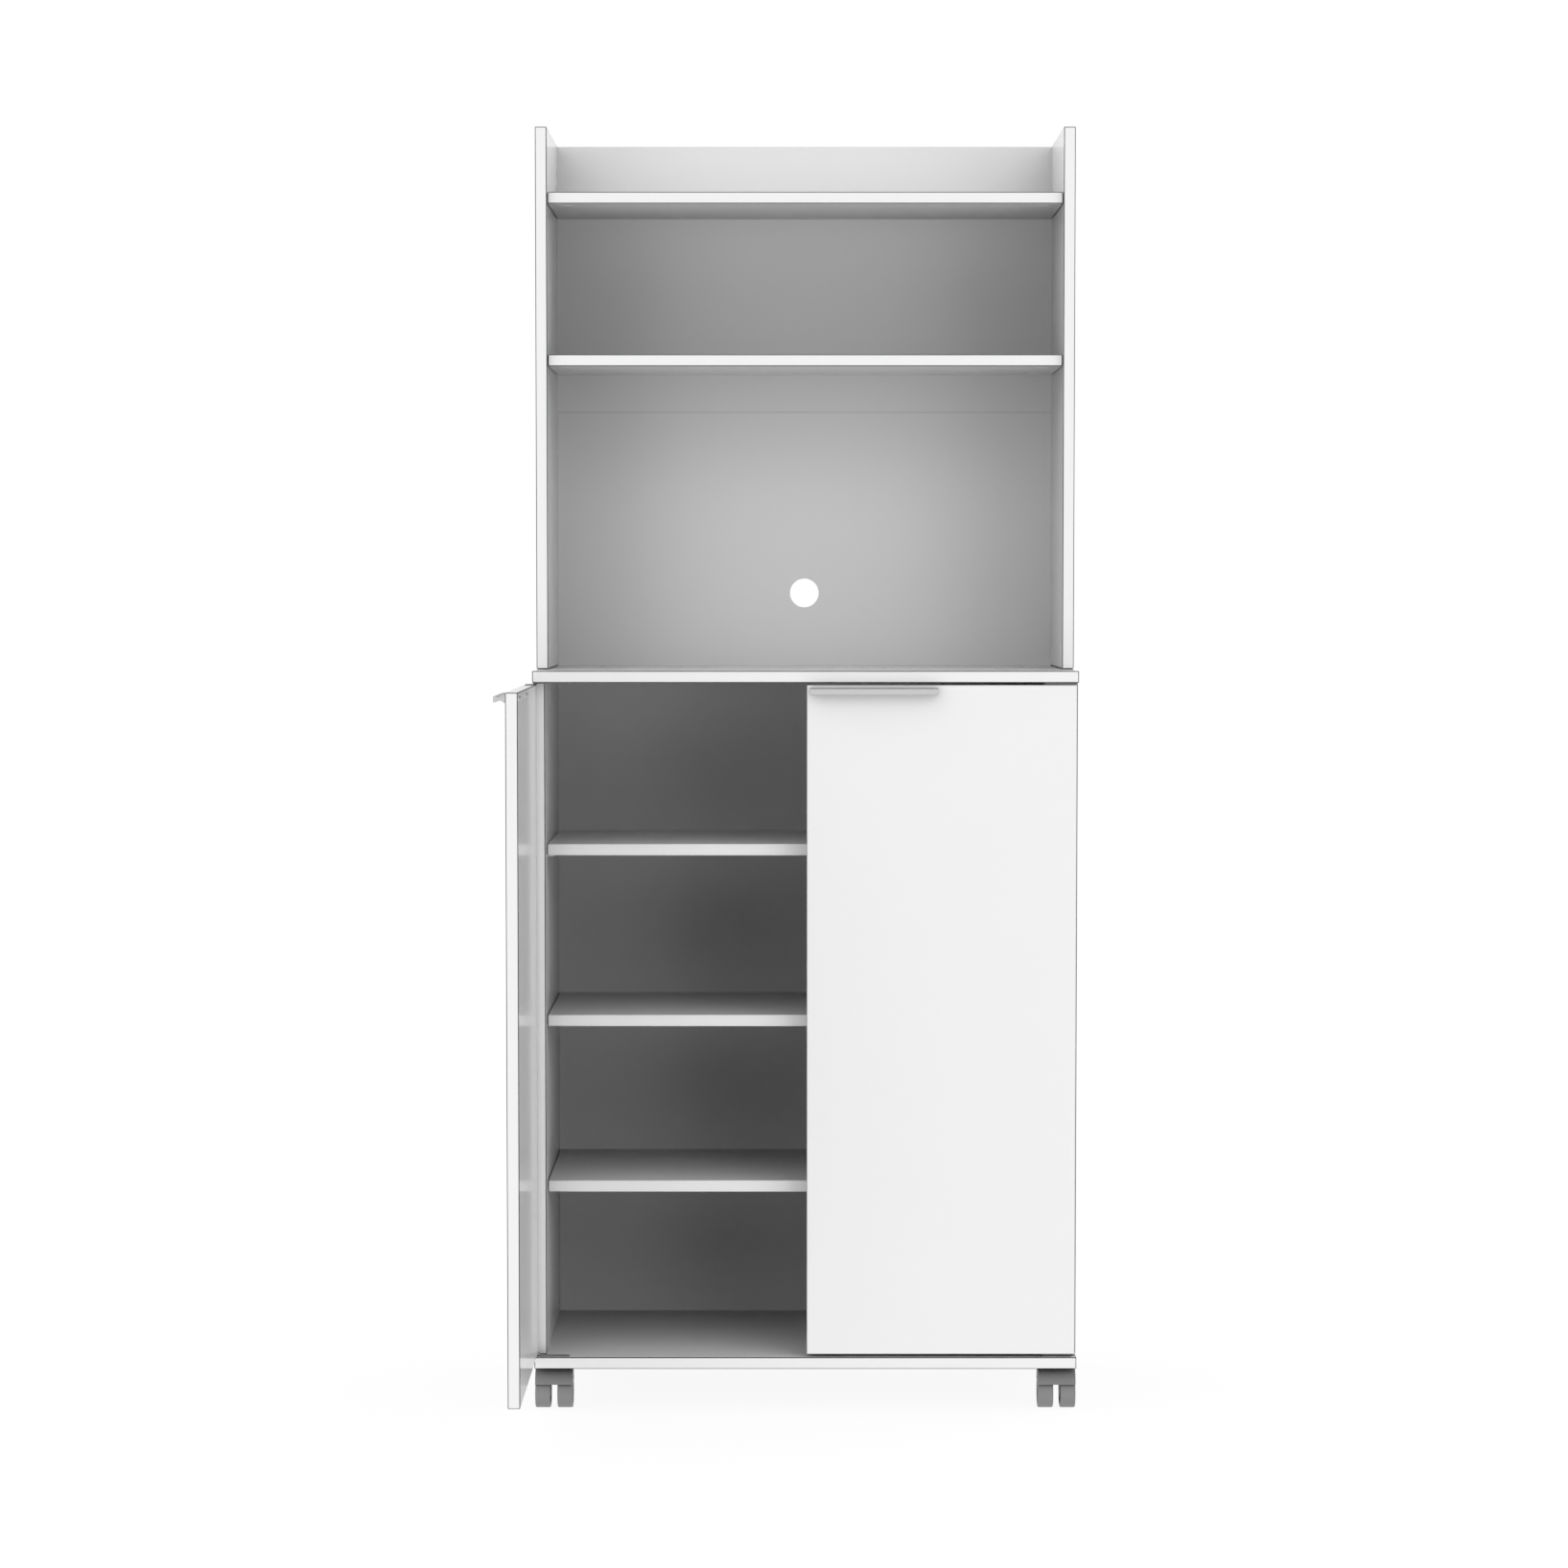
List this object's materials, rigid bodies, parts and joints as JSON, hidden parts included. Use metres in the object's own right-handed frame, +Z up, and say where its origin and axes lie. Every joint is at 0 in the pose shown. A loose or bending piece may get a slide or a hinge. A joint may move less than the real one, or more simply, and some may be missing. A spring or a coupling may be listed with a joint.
{
  "type": "microwave cabinet",
  "caption": "White two-door lower cabinet with inner shelves under an open hutch with a microwave niche, a shelf bay and a top tray, on twin-wheel swivel casters.",
  "frame": {"origin": "on the floor under the middle of the cabinet's width, in the plane of the worktop's front edge", "axes": "+X to the right seen from the front, +Y from the front towards the wall, +Z up"},
  "size_m": [0.7257, 0.6552, 1.6585],
  "materials": {
    "white_board": "smooth white melamine with white edge band, satin",
    "white_back": "thin hardboard, white coated",
    "handle_metal": "satin silver",
    "zinc_steel": "bright zinc plated",
    "phosphated_steel": "phosphated, matt dark grey",
    "beech": "plain beech",
    "white_nylon": "natural nylon",
    "caster_hood": "moulded, fine matt",
    "caster_wheel": "moulded, matt"
  },
  "bodies": {
    "cabinet": {"base_panel": "white_board", "lower_left_side": "white_board", "lower_right_side": "white_board", "worktop": "white_board", "lower_back": "white_back", "lower_inner_shelf": "white_board", "middle_inner_shelf": "white_board", "upper_inner_shelf": "white_board", "hutch_left_side": "white_board", "hutch_right_side": "white_board", "hutch_middle_shelf": "white_board", "hutch_top_shelf": "white_board", "hutch_lower_back": "white_back", "hutch_upper_back": "white_back", "cam_locks": "zinc_steel", "cam_bolts": "zinc_steel", "dowels": "beech", "shelf_pins": "zinc_steel", "back_nails": "zinc_steel", "hinge_pins": "phosphated_steel", "hinge_washers": "white_nylon", "cabinet_hinge_screws": "phosphated_steel", "caster_screws": "zinc_steel", "caster_kingpins": "zinc_steel", "left_top_cabinet_leaf": "phosphated_steel", "left_bottom_cabinet_leaf": "phosphated_steel", "right_top_cabinet_leaf": "phosphated_steel", "right_bottom_cabinet_leaf": "phosphated_steel", "front_left_caster_plate": "zinc_steel", "front_right_caster_plate": "zinc_steel", "rear_left_caster_plate": "zinc_steel", "rear_right_caster_plate": "zinc_steel"},
    "left_door": {"left_door": "white_board", "left_handle": "handle_metal", "left_handle_screws": "zinc_steel", "left_top_door_leaf": "phosphated_steel", "left_bottom_door_leaf": "phosphated_steel", "left_door_hinge_screws": "phosphated_steel"},
    "right_door": {"right_door": "white_board", "right_handle": "handle_metal", "right_handle_screws": "zinc_steel", "right_top_door_leaf": "phosphated_steel", "right_bottom_door_leaf": "phosphated_steel", "right_door_hinge_screws": "phosphated_steel"},
    "front_left_swivel": {"front_left_caster_housing": "caster_hood", "front_left_caster_axles": "zinc_steel"},
    "front_left_left_wheel": {"front_left_caster_left_wheel": "caster_wheel"},
    "front_left_right_wheel": {"front_left_caster_right_wheel": "caster_wheel"},
    "front_right_swivel": {"front_right_caster_housing": "caster_hood", "front_right_caster_axles": "zinc_steel"},
    "front_right_left_wheel": {"front_right_caster_left_wheel": "caster_wheel"},
    "front_right_right_wheel": {"front_right_caster_right_wheel": "caster_wheel"},
    "rear_left_swivel": {"rear_left_caster_housing": "caster_hood", "rear_left_caster_axles": "zinc_steel"},
    "rear_left_left_wheel": {"rear_left_caster_left_wheel": "caster_wheel"},
    "rear_left_right_wheel": {"rear_left_caster_right_wheel": "caster_wheel"},
    "rear_right_swivel": {"rear_right_caster_housing": "caster_hood", "rear_right_caster_axles": "zinc_steel"},
    "rear_right_left_wheel": {"rear_right_caster_left_wheel": "caster_wheel"},
    "rear_right_right_wheel": {"rear_right_caster_right_wheel": "caster_wheel"}
  },
  "joints": [
    {"name": "left_door_hinge", "type": "hinge", "parent": "cabinet", "child": "left_door", "pos_m": [-0.3469, 0.0155, 0.5], "axis": [0, 0, -1], "range_deg": [-90, 20]},
    {"name": "right_door_hinge", "type": "hinge", "parent": "cabinet", "child": "right_door", "pos_m": [0.3469, 0.0155, 0.5], "axis": [0, 0, 1], "range_deg": [0, 110]},
    {"name": "front_left_swivel_turn", "type": "hinge", "parent": "cabinet", "child": "front_left_swivel", "pos_m": [-0.3255, 0.036, 0.05], "axis": [0, 0, 1], "continuous": true},
    {"name": "front_left_left_wheel_roll", "type": "hinge", "parent": "front_left_swivel", "child": "front_left_left_wheel", "pos_m": [-0.3255, 0.026, 0.02], "axis": [1, 0, 0], "continuous": true},
    {"name": "front_left_right_wheel_roll", "type": "hinge", "parent": "front_left_swivel", "child": "front_left_right_wheel", "pos_m": [-0.3255, 0.026, 0.02], "axis": [1, 0, 0], "continuous": true},
    {"name": "front_right_swivel_turn", "type": "hinge", "parent": "cabinet", "child": "front_right_swivel", "pos_m": [0.3255, 0.036, 0.05], "axis": [0, 0, 1], "continuous": true},
    {"name": "front_right_left_wheel_roll", "type": "hinge", "parent": "front_right_swivel", "child": "front_right_left_wheel", "pos_m": [0.3255, 0.026, 0.02], "axis": [1, 0, 0], "continuous": true},
    {"name": "front_right_right_wheel_roll", "type": "hinge", "parent": "front_right_swivel", "child": "front_right_right_wheel", "pos_m": [0.3255, 0.026, 0.02], "axis": [1, 0, 0], "continuous": true},
    {"name": "rear_left_swivel_turn", "type": "hinge", "parent": "cabinet", "child": "rear_left_swivel", "pos_m": [-0.3255, 0.286, 0.05], "axis": [0, 0, 1], "continuous": true},
    {"name": "rear_left_left_wheel_roll", "type": "hinge", "parent": "rear_left_swivel", "child": "rear_left_left_wheel", "pos_m": [-0.3255, 0.276, 0.02], "axis": [1, 0, 0], "continuous": true},
    {"name": "rear_left_right_wheel_roll", "type": "hinge", "parent": "rear_left_swivel", "child": "rear_left_right_wheel", "pos_m": [-0.3255, 0.276, 0.02], "axis": [1, 0, 0], "continuous": true},
    {"name": "rear_right_swivel_turn", "type": "hinge", "parent": "cabinet", "child": "rear_right_swivel", "pos_m": [0.3255, 0.286, 0.05], "axis": [0, 0, 1], "continuous": true},
    {"name": "rear_right_left_wheel_roll", "type": "hinge", "parent": "rear_right_swivel", "child": "rear_right_left_wheel", "pos_m": [0.3255, 0.276, 0.02], "axis": [1, 0, 0], "continuous": true},
    {"name": "rear_right_right_wheel_roll", "type": "hinge", "parent": "rear_right_swivel", "child": "rear_right_right_wheel", "pos_m": [0.3255, 0.276, 0.02], "axis": [1, 0, 0], "continuous": true}
  ]
}
